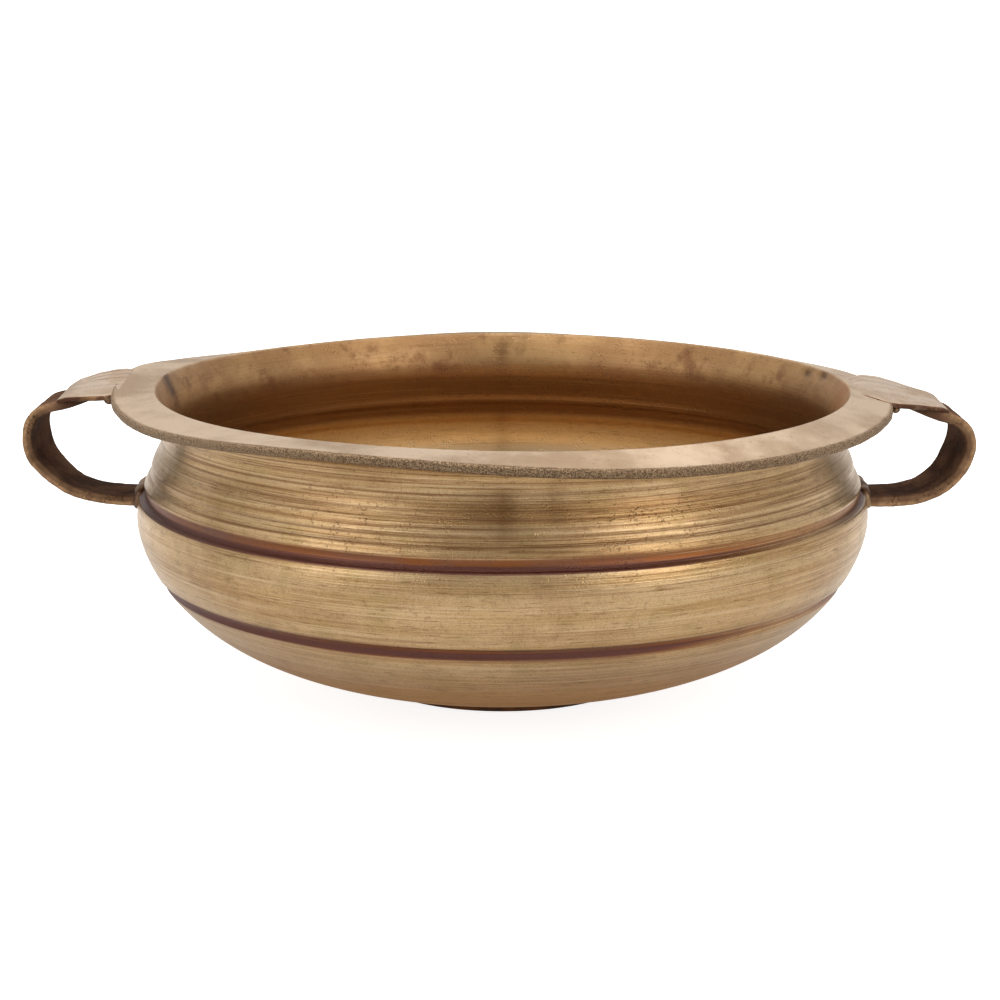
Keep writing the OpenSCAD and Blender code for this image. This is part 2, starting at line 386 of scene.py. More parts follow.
# %% Steps, ripples and dents, all in the radius
NECK_LINES = (115.0, 110.6, 107.0, 104.2, 101.4, 98.4, 95.6, 92.2)
# the neck's dark lines and steps fade towards the left and right; the paler sides this leaves are
# partly painted light
busy = ease(np.abs(dy), 0.2, 0.75)
scratch = sum(bell(z, height + 0.35 * np.sin(azimuth + n), 0.45)
              for n, height in enumerate(NECK_LINES)) * outside * ease(r, 138, 142) * busy
ripple = np.sin(2 * math.pi * z / 3.1 + 0.6 * np.sin(2 * azimuth)) * ease(z, 88, 94)
ripple = (ripple + 0.5 * np.sin(2 * math.pi * z / 1.9)) * outside * (z > 60) * (z < 120)
lumps = unevenness(r * dx, r * dy, z, 95) * ease(r, 60, 120)

# the rim's edge is rough, like a casting that was never filed
edge_x, edge_y = 170 * dx, 170 * dy
rough_edge = unevenness(edge_x, edge_y, z, 17, 2.0) + unevenness(edge_x, edge_y, z, 7.3, 4.0)
at_edge = bell(r, RIM_R, 2.2) * ease(z, 118, 121)

# two small dents in the throat, near the back of the right handle
dents = (bell(azimuth, math.radians(20.2), 0.019) * bell(z, 123.8, 1.9)
         + bell(azimuth, math.radians(14.0), 0.021) * bell(z, 125.2, 1.7)) * indoors

# a step inside, where the tool was set down again
step_inside = bell(z, 94.6, 1.0) * indoors

grow = (-0.09 * scratch + 0.018 * ripple + 0.22 * lumps + 0.16 * rough_edge * at_edge
        + 1.0 * dents - 0.8 * step_inside)
rise = rim_wave(azimuth) * flange_share(r, z)
bowl_rings = np.stack([(r + grow) * dx, (r + grow) * dy, z + rise + 0 * dx], axis=-1)
rim_line = bowl_rings[..., 2].max(axis=0)
print("rim height from", round(float(rim_line.min()), 1), "to", round(float(rim_line.max()), 1))


# %% [markdown]
# The materials need to know where they are on the bowl, so each point carries
# marks: the distance walked along the contour, for the turning lines, and how
# much of it is groove, rim, rim edge, neck, throat, floor, inside, or stained
# by heat and handling. Some marks also carry painted shade, painted light and
# a painted reflection. A mark is a number per point, which a material reads by
# name. Marks cost no faces, and they stay in place when a pattern is changed.

# %% Bearings, and marks for the grooves and the rim
degrees = np.degrees(azimuth)


def away_from(bearing):
    """Degrees round the bowl from a bearing, from -180 to 180."""
    return (degrees - bearing + 180) % 360 - 180


# the stain in a groove is weakest at the front right, which was scoured most
on_wall = ease(r, 120, 130) * outside * (1 - 0.42 * bell(away_from(-38), 0, 30))
groove = np.maximum(bell(z, UPPER_GROOVE - 0.1, 3.5), bell(z, LOWER_GROOVE - 0.4, 3.5)) * on_wall
# the core of each groove is coloured darkest, partly tarnish and partly painted shade
core = np.maximum(bell(z, UPPER_GROOVE - 1.8, 2.1), bell(z, LOWER_GROOVE - 0.9, 2.4)) * on_wall
flange_top = ease(z, 124.9, 125.6) * ease(r, MOUTH_R - 0.4, MOUTH_R + 0.6)
flange_edge = ease(r, RIM_R - 1.9, RIM_R - 0.5) * ease(z, 119, 122)
neck = np.maximum(ease(z, 87, 92), 0.7 * bell(z, 79, 3)) * ease(r, 140, 143)
neck = neck * (1 - flange_top) * outside * (0.3 + 0.7 * busy)
print("groove stain covers", round(float((groove > 0.5).mean()) * 100, 1), "% of the points")


# %% Marks for heat, soot and smudges
def smear(bearing, wide, low, high):
    """A brown run down the wall: bell-shaped round the bowl, soft ends in z."""
    ends = ease(z, low - 3, low + 3) * (1 - ease(z, high - 3, high + 3))
    return bell(away_from(bearing), 0, wide) * ends


# heat stains round each strap's end, and a slanting brown line on the near side,
# a painted reflection that stands in for part of the handle's dark reflection
strap_end = bell(np.abs(r * dx), 154, 11) * bell(r * dy, 0, 25) * bell(z, 84, 12)
from_side = np.minimum(np.abs(away_from(0)), np.abs(away_from(180)))
slant = 22 + 4.5 * (z - 95) / 20
painted_reflection_line = bell(from_side, slant, 2.3) * (dy < 0) * ease(z, 86, 93) * (1 - ease(z, 118, 121))
heat = np.maximum(strap_end, 1.2 * painted_reflection_line) * outside

left_notch = bell(away_from(174), 0, 1.8) * ease(z, 117, 121) * indoors
right_blush = bell(away_from(-1), 0, 5) * ease(z, 115, 119) * indoors
smudge_outside = (0.75 * smear(270.3, 1.6, 93, 112) + 0.6 * smear(277.6, 1.1, 101, 117)
                  + 0.5 * smear(268, 4, 100, 114) + 0.8 * smear(283, 3.2, 83, 88))
smudge_inside = (0.9 * smear(90, 1.2, 112, 126) + 0.5 * smear(112, 0.9, 114, 124)
                 + 0.4 * smear(90, 1.6, 60, 110) + 0.7 * smear(17, 4, 117, 119))


# %% The bowl as a piece
bowl = make_piece("bowl", bowl_rings, {
    "walked": ring_walk[:, None],
    "inside": indoors,
    "groove": groove,
    "core": core,
    "scratch": scratch,
    "flange_top": flange_top,
    "flange_edge": flange_edge,
    # painted shade: the far side of the flange top is coloured darker
    "behind": flange_top * ease(dy, 0.5, 0.9),
    "neck": neck,
    # the throat's patches of patina are partly painted shade
    "throat": ease(z, 102, 112) * indoors,
    # painted shade: the inner wall between throat and floor is coloured dark
    "inner_wall_shade": indoors * ease(z, 84, 89) * (1 - ease(z, 106, 119)),
    # painted light: the floor inside is coloured a light gold
    "floor": indoors * (1 - ease(z, 77, 86)),
    # painted shade: the belly is coloured browner towards the bottom, where it mirrors the shaded
    # floor
    "low": (1 - ease(z, 14, 44)) * outside,
    # heat stains round the straps' ends, and the painted reflection beside each handle
    "heat": heat,
    # a dark notch by the left handle, and the two dents coloured dark
    "dark_notch_and_dents": np.maximum(left_notch, 0.95 * dents),
    "copper": right_blush,
    "smudge": smudge_outside * outside + smudge_inside * indoors,
    "cool": 0.7 * ease(-dx, 0.3, 0.8),
})


# %% [markdown]
# ## The ring foot
#
# Under the belly is a low turned ring. Only its lower edge shows, but it holds
# the bowl off the table and throws the dark line beneath it. Its section is a
# rounded rectangle, carried round the axis, and it runs up into the bowl's
# underside so that no gap shows.

# %% Foot ring
FOOT_R, FOOT_W = 60.0, 7.0
FOOT_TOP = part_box("foot_ring")[1].z / MM


def squared(wave, power):
    """A sine or cosine pushed towards -1 and 1: its size to the power, so a
    circle drawn with it turns into a square with round corners."""
    return np.sign(wave) * np.abs(wave) ** power


around = np.linspace(0, 2 * math.pi, 28, endpoint=False)[:, None]
foot_r = FOOT_R - FOOT_W / 2 + FOOT_W / 2 * squared(np.cos(around), 0.35)
foot_z = FOOT_TOP / 2 + FOOT_TOP / 2 * squared(np.sin(around), 0.35)
foot_lumps = 0.15 * unevenness(foot_r * dx, foot_r * dy, foot_z, 40, 3.0) * (foot_z > 0.5)
foot_rings = np.stack([(foot_r + foot_lumps) * dx, (foot_r + foot_lumps) * dy,
                       foot_z + 0 * dx], axis=-1)
foot = make_piece("foot", foot_rings, {}, joined=True)


# %% [markdown]
# ## Strips
#
# The handles are strips of brass: a leaf-shaped plate lies on the rim, and a
# strap is brazed beneath it, bends down and comes back to the belly. Plate and
# strap are the same kind of surface, a rounded rectangle carried along a path.
# The near and the far edge of a strip each have a path of their own, because a
# hand-bent strap twists. Hammering leaves the faces and the edges uneven.

# %% A rounded section, and a smooth path
def section(face, corner, side):
    """Unit section of a strip, walked once round. across and through place the
    straight parts, and out is the outward direction that the corner radius and
    the roughness follow."""
    run = np.linspace(1, -1, face)
    turn = np.linspace(0, math.pi / 2, corner + 2)[1:-1]
    edge_run = np.linspace(1, -1, side)
    one_face, one_corner, one_side = np.ones(face), np.ones(corner), np.ones(side)
    across = np.concatenate([run, -one_corner, -one_side, -one_corner,
                             -run, one_corner, one_side, one_corner])
    through = np.concatenate([one_face, one_corner, edge_run, -one_corner,
                              -one_face, -one_corner, -edge_run, one_corner])
    out_across = np.concatenate([0 * run, -np.sin(turn), -one_side, -np.cos(turn),
                                 0 * run, np.sin(turn), one_side, np.cos(turn)])
    out_through = np.concatenate([one_face, np.cos(turn), 0 * edge_run, -np.sin(turn),
                                  -one_face, -np.cos(turn), 0 * edge_run, np.sin(turn)])
    return across, through, out_across, out_through


def smooth_path(points, count):
    """A Catmull-Rom curve through the points, at count even distances."""
    p = np.array(points, float)
    p = np.concatenate([[2 * p[0] - p[1]], p, [2 * p[-1] - p[-2]]])
    t = np.linspace(0, len(p) - 3 - 1e-9, 40 * count)
    n = t.astype(int)
    u = (t - n)[:, None]
    a, b, c, d = p[n], p[n + 1], p[n + 2], p[n + 3]
    curve = 0.5 * (2 * b + (c - a) * u + (2 * a - 5 * b + 4 * c - d) * u ** 2
                   + (3 * b - a - 3 * c + d) * u ** 3)
    run = np.concatenate([[0], np.cumsum(np.linalg.norm(np.diff(curve, axis=0), axis=1))])
    even = np.linspace(0, run[-1], count)
    return np.stack([np.interp(even, run, curve[:, k]) for k in (0, 1)], axis=-1)


# %% Carry the section along
FACE, CORNER, SIDE = 40, 4, 6


def strip(near, far, half, thick, corner, ribs, rough, turn):
    """Rings of a strip, and its marks. near and far are the paths (distance
    out, height) of the outer face's two edges, which are half to each side of
    the middle; the section hangs thick below the face along the path's normal.
    ribs are (place across 0..1, depth, width), and rough is the height of the
    hammered unevenness."""
    across, through, out_a, out_t = section(FACE, CORNER, SIDE)
    rows = len(near)
    middle = (near + far) / 2
    along = np.gradient(middle, axis=0)
    along = along / np.linalg.norm(along, axis=1, keepdims=True)
    normal = np.stack([-along[:, 1], along[:, 0]], axis=-1)
    half_w = half[:, None]
    half_t = (thick / 2)[:, None]
    corner = np.minimum(corner, 0.9 * half_t)
    end = np.arange(rows)
    taper = np.sqrt(1 - np.clip(1 - np.minimum(end, rows - 1 - end) / 3.0, 0, 1) ** 2)
    taper = (0.15 + 0.85 * taper)[:, None]
    place = across * (half_w - corner) + out_a * corner
    depth = (through * (half_t - corner) + out_t * corner) * taper
    share = (place / half_w + 1) / 2
    hollow = sum(d * bell(share, at, w) for at, d, w in ribs) + 0 * share
    x0 = near[:, :1] * (1 - share) + far[:, :1] * share
    z0 = near[:, 1:] * (1 - share) + far[:, 1:] * share
    bumps = rough * (unevenness(x0, place, z0, 11, turn)
                     + 0.6 * unevenness(x0, place, z0, 4.7, turn + 2))
    push = bumps * (0.35 + 0.65 * np.abs(out_a)) - hollow * np.abs(out_t)
    depth = depth - half_t + push * out_t
    x = x0 + normal[:, :1] * depth
    y = place + push * out_a
    z_up = z0 + normal[:, 1:] * depth
    marks = {"rim_of_strip": np.abs(out_a) + 0 * x,
             # corner is strongest at the outer corner: on the straps it carries wear and a painted
             # highlight
             "corner": np.abs(out_a) * (0.3 + 0.7 * ease(through, -0.4, 0.8)) + 0 * x,
             "under": (through < 0) * (1 - np.abs(out_a)) + 0 * x,
             "hollow": hollow / 0.4 + 0 * x}
    return np.stack([x, y, z_up], axis=-1), marks


# %% [markdown]
# ### The rim plates
#
# The two plates are not a pair. The left one butts against the edge of the rim
# and stays nearly level. The right one was beaten thinner: it laps over the
# flange as far as the mouth and falls more steeply to its end. Both are cut
# like a leaf, widest at the rim. Their upper faces keep the ribs of the strip
# they were cut from.

# %% How a plate is made
PLATE_HALF, PLATE_END_HALF = 23.5, 15.8


def plate(side, inner, near_heights, far_heights, lap, turn, ribs, fade):
    """A plate on one side (-1 left, 1 right), from distance inner out to its
    end. Its top follows the flange plus lap, then goes through the (distance
    out, height) points given for its near and far edge. fade is the share of
    its length over which it widens from its inner end."""
    rows = 64
    u = np.linspace(0, 1, rows)
    reach_near = inner + (near_heights[-1][0] - inner) * u
    reach_far = inner + (far_heights[-1][0] - inner) * u
    half = PLATE_HALF + (PLATE_END_HALF - PLATE_HALF) * ease(reach_near, 160, 190)
    half = half - (1 - ease(u, -0.02, fade)) * 5

    def height(reach, y, edge_heights):
        """Height of the top: the flange's own, turning to the given one."""
        laid = lap * (0.15 + 0.85 * ease(y, 0, 18)) * ease(reach, inner - 1, inner + 7)
        on_rim = rim_top(side * reach, y) + laid
        free = np.interp(reach, *zip(*edge_heights))
        share = ease(reach, RIM_R - 6, RIM_R + 1)
        return on_rim * (1 - share) + free * share

    near = np.stack([reach_near, height(reach_near, -half, near_heights)], axis=-1)
    far = np.stack([reach_far, height(reach_far, half, far_heights)], axis=-1)
    rings, marks = strip(near, far, half, 2.5 - 0.5 * u, 0.8, ribs, 0.16, turn)
    return rings * (side, 1, 1), marks


# %% Rim plates
left_ribs = ((0.93, 0.30, 0.012), (0.80, 0.34, 0.014), (0.66, 0.28, 0.014), (0.40, 0.12, 0.03))
right_ribs = ((0.90, 0.16, 0.02), (0.74, 0.14, 0.03), (0.55, 0.10, 0.03), (0.30, 0.08, 0.03))
left_near = ((164, 126.6), (176, 125.4), (184, 124.4), (188.2, 123.2))
left_far = ((164, 130.6), (168, 130.4), (175, 129.3), (183, 127.0), (187.2, 124.4), (188.6, 123.0))
right_near = ((163, 123.4), (176, 121.6), (185, 120.2), (188.8, 118.8))
right_far = ((160.6, 128.0), (173.5, 124.3), (184, 121.6), (187.4, 120.0), (188.6, 118.6))
left_plate = make_piece(
    "left_plate", *plate(-1, 160.5, left_near, left_far, 1.0, 1.0, left_ribs, 0.02))
right_plate = make_piece(
    "right_plate", *plate(1, 149.5, right_near, right_far, 2.9, 5.0, right_ribs, 0.30))


# %% [markdown]
# ### The strap handles
#
# Each strap starts as a thin scarf under its plate, bends down in a tight
# curve, and runs back to the belly in a wide one. Its path goes through a few
# points at which the maker's bends can be felt. The far edge stands a little
# further in than the near one, so the strap is slightly twisted.

# %% How a strap is made
def strap(side, points, thick_top, thick_low, lean, sag, turn):
    """A strap on one side (-1 left, 1 right), whose near outer edge goes through
    points (distance out, height). The far edge leans in by lean where the
    strap stands upright and sags by sag on the way back."""
    rows = 120
    near = smooth_path(points, rows)
    u = np.linspace(0, 1, rows)
    upright = bell(u, 0.48, 0.17)
    low = bell(u, 0.75, 0.18)
    far = near + np.stack([-lean * upright, -sag * low], axis=-1)
    half = (13.8 + 2.6 * ease(u, 0.08, 0.22) - 1.0 * ease(u, 0.35, 0.6)
            - 1.6 * ease(u, 0.62, 1.0))
    half = half + 0.4 * np.sin(9 * u + turn) * ease(u, 0.1, 0.3)
    thick = thick_top + (thick_low - thick_top) * ease(u, 0.4, 0.7)
    thick = 1.0 + (thick - 1.0) * ease(u, -0.02, 0.17)
    rings, marks = strip(near, far, half, thick, 1.0, (), 0.22, turn)
    marks["corner"] = marks["corner"] * ease(u, 0.15, 0.26)[:, None]
    return rings * (side, 1, 1), marks


# %% Strap handles
LEFT_PATH = ((168.5, 125.0), (180, 123.7), (189, 122.3), (195, 120.6), (199.5, 117.1),
             (202.3, 111.5), (203, 105), (201.6, 98), (198.2, 93), (192.1, 87.3),
             (184.4, 82.3), (175.3, 79.3), (164, 77.5), (154.2, 77.0))
RIGHT_PATH = ((168.5, 120.9), (180, 119.3), (187.5, 117.8), (193.0, 115.9), (197.2, 112.4),
              (199.8, 107.4), (200.2, 102), (198.6, 96), (195.0, 89.6), (189.1, 83.8),
              (181.2, 79.4), (172, 77.1), (162, 76.6), (154.2, 76.5))
left_strap = make_piece("left_strap", *strap(-1, LEFT_PATH, 4.0, 4.1, 3.0, 1.2, 0.4))
right_strap = make_piece("right_strap", *strap(1, RIGHT_PATH, 4.4, 4.5, 3.0, 0.0, 3.1))


# %% [markdown]
# ### Braze
#
# Where strap meets bowl the joint was run full of brazing metal, which sets in
# a soft, uneven bead with a brighter gold colour. Under each plate the bead
# fills the corner by the rim. On the belly it goes all round the strap's end.

# %% Beads of braze
def bead(path, radius, turn, joined=False):
    """A round bead along path (rows, 3), its radius swelling and shrinking."""
    rows = len(path)
    if joined:
        along = np.roll(path, -1, axis=0) - np.roll(path, 1, axis=0)
    else:
        along = np.gradient(path, axis=0)
    along = along / np.linalg.norm(along, axis=1, keepdims=True)
    side = np.cross(along, np.array([0.98, 0.05, 0.17]))
    side = side / np.linalg.norm(side, axis=1, keepdims=True)
    up = np.cross(side, along)
    around = np.linspace(0, 2 * math.pi, 20, endpoint=False)[None, :, None]
    swell = 1 + 0.22 * unevenness(path[:, 0], path[:, 1], path[:, 2], 9, turn)
    ends = np.ones(rows)
    if not joined:
        run = np.linspace(-1, 1, rows)
        ends = np.sqrt(np.clip(1 - np.abs(run) ** 6, 0.02, 1))
    size = (radius * swell * ends)[:, None, None]
    return path[:, None, :] + size * (side[:, None, :] * np.cos(around)
                                      + up[:, None, :] * np.sin(around))


def rim_bead(side, drop, turn):
    """A bead under a plate, along the edge of the rim, fatter at its near end."""
    y = np.linspace(-22.5, 21, 60)
    x = np.sqrt((RIM_R + 1.0) ** 2 - y ** 2)
    height = rim_top(side * (RIM_R - 1), y) - drop
    radius = 1.5 + 1.1 * bell(y, -21, 3.5)
    return bead(np.stack([side * x, y, height], axis=-1), radius, turn)


def belly_bead(side, middle_z, turn):
    """A bead round a strap's end: a rounded oblong laid on the belly."""
    around = np.linspace(0, 2 * math.pi, 110, endpoint=False)
    y = 14.2 * squared(np.cos(around), 0.45)
    z_on = middle_z + 2.9 * squared(np.sin(around), 0.45)
    out = np.sqrt((side_radius(z_on) - 0.2) ** 2 - y ** 2)
    radius = 2.0 + 0.8 * bell(np.sin(around), 1, 0.9)
    return bead(np.stack([side * out, y, z_on], axis=-1), radius, turn, joined=True)


beads = {
    "left_rim_bead": rim_bead(-1, 3.3, 0.3),
    "right_rim_bead": rim_bead(1, 3.0, 2.2),
    "left_belly_bead": belly_bead(-1, 80.0, 1.1),
    "right_belly_bead": belly_bead(1, 79.9, 4.4),
}
bead_pieces = {name: make_piece(name, rings, {}, joined="belly" in name)
               for name, rings in beads.items()}


# %% [markdown]
# ## Shader tools
#
# Materials are built from nodes. These helpers add one node at a time and join
# it up: a value that is a socket is linked, and any other value is set. A worn
# metal is best thought of as layers, so one helper lays stains over a colour in
# the order in which they came to the real bowl.

# %% Helpers for nodes
def add_node(tree, kind, inputs=None, **settings):
    """One node, with its inputs set or linked by name or number."""
    made = tree.nodes.new(kind)
    for setting, value in settings.items():
        setattr(made, setting, value)
    for key, value in (inputs or {}).items():
        if isinstance(value, bpy.types.NodeSocket):
            tree.links.new(value, made.inputs[key])
        else:
            made.inputs[key].default_value = value
    return made


def calculate(tree, operation, a, b=0.0):
    """A Math node on one or two values."""
    return add_node(tree, "ShaderNodeMath", {0: a, 1: b}, operation=operation).outputs[0]


def share_of(tree, value, most):
    """value times most."""
    return calculate(tree, "MULTIPLY", value, most)


def plus(tree, value, factor, start):
    """value times factor, plus start."""
    return add_node(tree, "ShaderNodeMath", {0: value, 1: factor, 2: start},
                    operation="MULTIPLY_ADD").outputs[0]


def between(tree, value, low, high):
    """0 where value is below low, 1 where it is above high, smooth between."""
    return add_node(tree, "ShaderNodeMapRange", {0: value, 1: low, 2: high},
                    interpolation_type="SMOOTHSTEP").outputs[0]


def piled_up(tree, start, parts):
    """start plus the sum of mask times most, for each (mask, most) of parts."""
    for mask, most in parts:
        start = plus(tree, mask, most, start)
    return start


def blend_colour(tree, share, a, b):
    """Colour a turning to colour b by share."""
    return add_node(tree, "ShaderNodeMix", {0: share, 6: a, 7: b}, data_type="RGBA").outputs[2]


def lay_over(tree, colour, layers):
    """The colour after each (mask, most, stain) of layers is laid over it in
    turn: it goes over to stain by mask times most."""
    for mask, most, stain in layers:
        colour = blend_colour(tree, share_of(tree, mask, most), colour, stain)
    return colour


def mark_of(tree, name):
    """The value a piece carries under this name."""
    return add_node(tree, "ShaderNodeAttribute", attribute_name=name).outputs["Fac"]


def noise(tree, place, scale, detail=4.0, rough=0.55, **settings):
    """A Noise Texture's value."""
    return add_node(tree, "ShaderNodeTexNoise",
                    {"Vector": place, "Scale": scale, "Detail": detail, "Roughness": rough},
                    **settings).outputs[0]


def hue(red, green, blue):
    """A colour as it looks on screen, 0 to 255, in the renderer's linear form."""
    share = np.array([red, green, blue]) / 255
    linear = np.where(share <= 0.04045, share / 12.92, ((share + 0.055) / 1.055) ** 2.4)
    return (*[float(v) for v in linear], 1.0)


# %% [markdown]
# ### Effects that several finishes share
#
# Three effects come back on every part of the bowl: the fine lines of the
# lathe, cloudy tarnish, and small casting pits. Each is a node group, built
# once, with inputs for how strong and how large it is.

# %% Node groups
def new_group(name, numbers, outputs):
    """An empty group with a place input and some number inputs and outputs."""
    tree = bpy.data.node_groups.new(name, "ShaderNodeTree")
    tree.interface.new_socket("Place", in_out="INPUT", socket_type="NodeSocketVector")
    for socket, value in numbers.items():
        made = tree.interface.new_socket(socket, in_out="INPUT", socket_type="NodeSocketFloat")
        made.default_value = value
    for socket in outputs:
        tree.interface.new_socket(socket, in_out="OUTPUT", socket_type="NodeSocketFloat")
    return tree, tree.nodes.new("NodeGroupInput"), tree.nodes.new("NodeGroupOutput")


def line_noise(tree, place, walked, spacing, drift, detail):
    """Noise that changes every spacing mm along walked, and drift times a
    metre over place, so that it draws lines round the bowl."""
    ticks = calculate(tree, "DIVIDE", walked, spacing)
    slow = add_node(tree, "ShaderNodeVectorMath", {0: place, 3: drift}, operation="SCALE")
    return add_node(tree, "ShaderNodeTexNoise",
                    {"Vector": slow.outputs[0], "W": ticks, "Scale": 1.0, "Detail": detail,
                     "Roughness": 0.6}, noise_dimensions="4D").outputs[0]


def turning_group():
    """Lathe lines of four kinds: fine hairs, broad bands, dark scratches, and
    the short dashes that years of scouring leave."""
    tree, given, made = new_group("turning_lines", {"Walked": 0.0},
                                  ("Fine", "Broad", "Dark lines", "Dashes"))
    place, walked = given.outputs["Place"], given.outputs["Walked"]
    tree.links.new(line_noise(tree, place, walked, 0.62, 12.0, 3.0), made.inputs["Fine"])
    tree.links.new(line_noise(tree, place, walked, 5.0, 8.0, 4.0), made.inputs["Broad"])
    dark = line_noise(tree, place, walked, 1.5, 16.0, 2.0)
    tree.links.new(between(tree, dark, 0.56, 0.68), made.inputs["Dark lines"])
    dash = line_noise(tree, place, walked, 0.8, 110.0, 2.0)
    tree.links.new(between(tree, dash, 0.57, 0.70), made.inputs["Dashes"])
    return tree


def tarnish_group():
    """Clouds of tarnish: two sizes of noise over Place, and a speckle."""
    tree, given, made = new_group("tarnish", {"Cloud size": 0.04},
                                  ("Clouds", "Blotches", "Speckle", "Grain"))
    place = given.outputs["Place"]
    scale = calculate(tree, "DIVIDE", 1.0, given.outputs["Cloud size"])
    tree.links.new(noise(tree, place, scale, 5.0, 0.6), made.inputs["Clouds"])
    finer = share_of(tree, scale, 3.3)
    blotches = between(tree, noise(tree, place, finer, 4.0, 0.6), 0.52, 0.68)
    tree.links.new(blotches, made.inputs["Blotches"])
    speck = between(tree, noise(tree, place, 420.0, 2.0, 0.6), 0.60, 0.72)
    tree.links.new(speck, made.inputs["Speckle"])
    tree.links.new(noise(tree, place, 1900.0, 3.0, 0.7), made.inputs["Grain"])
    return tree


def pits_group():
    """Casting pits: rounded holes of about Size, in metres, thinned by noise."""
    tree, given, made = new_group("casting_pits", {"Size": 0.0015}, ("Pits",))
    scale = calculate(tree, "DIVIDE", 1.0, given.outputs["Size"])
    cells = add_node(tree, "ShaderNodeTexVoronoi",
                     {"Vector": given.outputs["Place"], "Scale": scale, "Randomness": 1.0})
    holes = between(tree, cells.outputs["Distance"], 0.42, 0.12)
    thin = between(tree, noise(tree, given.outputs["Place"], 160.0, 3.0, 0.6), 0.48, 0.60)
    tree.links.new(share_of(tree, holes, thin), made.inputs["Pits"])
    return tree


TURNING, TARNISH, PITS = turning_group(), tarnish_group(), pits_group()
print("groups:", [group.name for group in (TURNING, TARNISH, PITS)])


# %% Helpers for a material
def use_group(tree, group, inputs):
    """Place a group in a material, with its own values."""
    return add_node(tree, "ShaderNodeGroup", inputs, node_tree=group).outputs


def metal(name, rough_low, metallic=1.0):
    """An empty metal material: its tree, its shader and the object's place.
    A skin of oxide hides part of the metal, so it gets less metallic."""
    material = bpy.data.materials.new(name)
    material.use_nodes = True
    tree = material.node_tree
    shader = tree.nodes["Principled BSDF"]
    shader.inputs["Metallic"].default_value = metallic
    shader.inputs["Roughness"].default_value = rough_low
    place = add_node(tree, "ShaderNodeTexCoord").outputs["Object"]
    print("material", material.name)
    return material, tree, shader, place


def bump(tree, height, distance, before=None):
    """A Bump node whose height, 0 to 1, stands distance metres tall."""
    inputs = {"Height": height, "Distance": distance, "Strength": 1.0}
    if before is not None:
        inputs["Normal"] = before
    return add_node(tree, "ShaderNodeBump", inputs).outputs[0]


def finish_metal(tree, shader, colour, rough, reliefs):
    """Link the colour, the roughness, and one Bump node after another for the
    (height, distance) pairs of reliefs."""
    tree.links.new(colour, shader.inputs["Base Color"])
    tree.links.new(rough, shader.inputs["Roughness"])
    normal = None
    for height, distance in reliefs:
        normal = bump(tree, height, distance, normal)
    tree.links.new(normal, shader.inputs["Normal"])


# %% [markdown]
# ### Turned brass
#
# The body is old turned brass: tan gold on the belly, greyer on the handled
# rim, and deep amber inside where light bounces from brass to brass. A brass
# that is one flat colour looks like plastic, so the metal starts as bands and
# clouds of two tones, with a grain of dull and bright specks.

# %% Bare metal
WHITE = hue(255, 255, 255)
BRASS = hue(186, 150, 102)
BRASS_PALE = hue(204, 172, 128)
BRASS_LIGHT = hue(222, 196, 158)
BRASS_DULL = hue(158, 122, 82)
BRASS_OLIVE = hue(166, 142, 90)
BRASS_BROWN = hue(180, 124, 70)
AMBER = hue(190, 148, 98)
INNER_WALL_SHADE = hue(98, 60, 32)
INNER_PAINTED_LIGHT = hue(216, 192, 154)


def bare_metal(tree, turning, tarnish, indoors):
    """Two tones in broad bands, then clouds, blotches and grain, browner low
    down as painted shade; inside it goes to amber, with painted shade on the
    wall and painted light in gold on the floor."""
    bands = between(tree, turning["Broad"], 0.38, 0.62)
    return lay_over(tree, blend_colour(tree, bands, BRASS, BRASS_PALE), (
        (between(tree, tarnish["Clouds"], 0.44, 0.64), 0.45, BRASS_DULL),
        (tarnish["Blotches"], 0.45, BRASS_OLIVE),
        # painted shade, browner towards the bottom of the belly
        (mark_of(tree, "low"), 0.8, BRASS_BROWN),
        (between(tree, tarnish["Grain"], 0.50, 0.62), 0.45, BRASS_DULL),
        (between(tree, tarnish["Grain"], 0.47, 0.36), 0.25, BRASS_LIGHT),
        (indoors, 0.7, AMBER),
        # painted shade on the inner wall
        (mark_of(tree, "inner_wall_shade"), 0.8, INNER_WALL_SHADE),
        # painted light on the floor inside
        (mark_of(tree, "floor"), 0.85, INNER_PAINTED_LIGHT),
    ))


# %% [markdown]
# The lathe's lines go over the metal next. They are darkest on the neck, where
# scouring never reaches the bottom of a line, and faint inside. Between the
# dark hairs run bright ones, which make the wall look turned and not painted.

# %% Lines of the lathe
SCRATCH = hue(112, 74, 46)


def lathe_lines(tree, colour, turning, patches, neck, indoors):
    """Dark hairs, dark scratches in patches, short dashes, bright hairs, and
    the steps that are cut in the neck."""
    hairs = piled_up(tree, 0.34, ((neck, 0.34), (indoors, -0.26)))
    in_patches = share_of(tree, patches, plus(tree, neck, 0.4, 0.2))
    return lay_over(tree, colour, (
        (between(tree, turning["Fine"], 0.50, 0.66), hairs, SCRATCH),
        (turning["Dark lines"], in_patches, SCRATCH),
        (turning["Dashes"], plus(tree, indoors, -0.25, 0.5), SCRATCH),
        (between(tree, turning["Fine"], 0.46, 0.34), plus(tree, indoors, -0.32, 0.40),
         BRASS_LIGHT),
        (mark_of(tree, "scratch"), 0.6, SCRATCH),
    ))


# %% [markdown]
# Then come the stains: patina in patches on the throat, partly painted shade,
# brown where brazing heated the wall, a slanting brown line beside each handle
# that is a painted reflection of it, and runs where something dripped. Tarnish
# gathers in the two grooves, orange on the slope and purple brown in the core,
# whose darkness is partly painted shade. Adding a little of the lathe's lines
# to a mark before it is cut off gives each stain a border that frays along the
# lines, as a real one does.

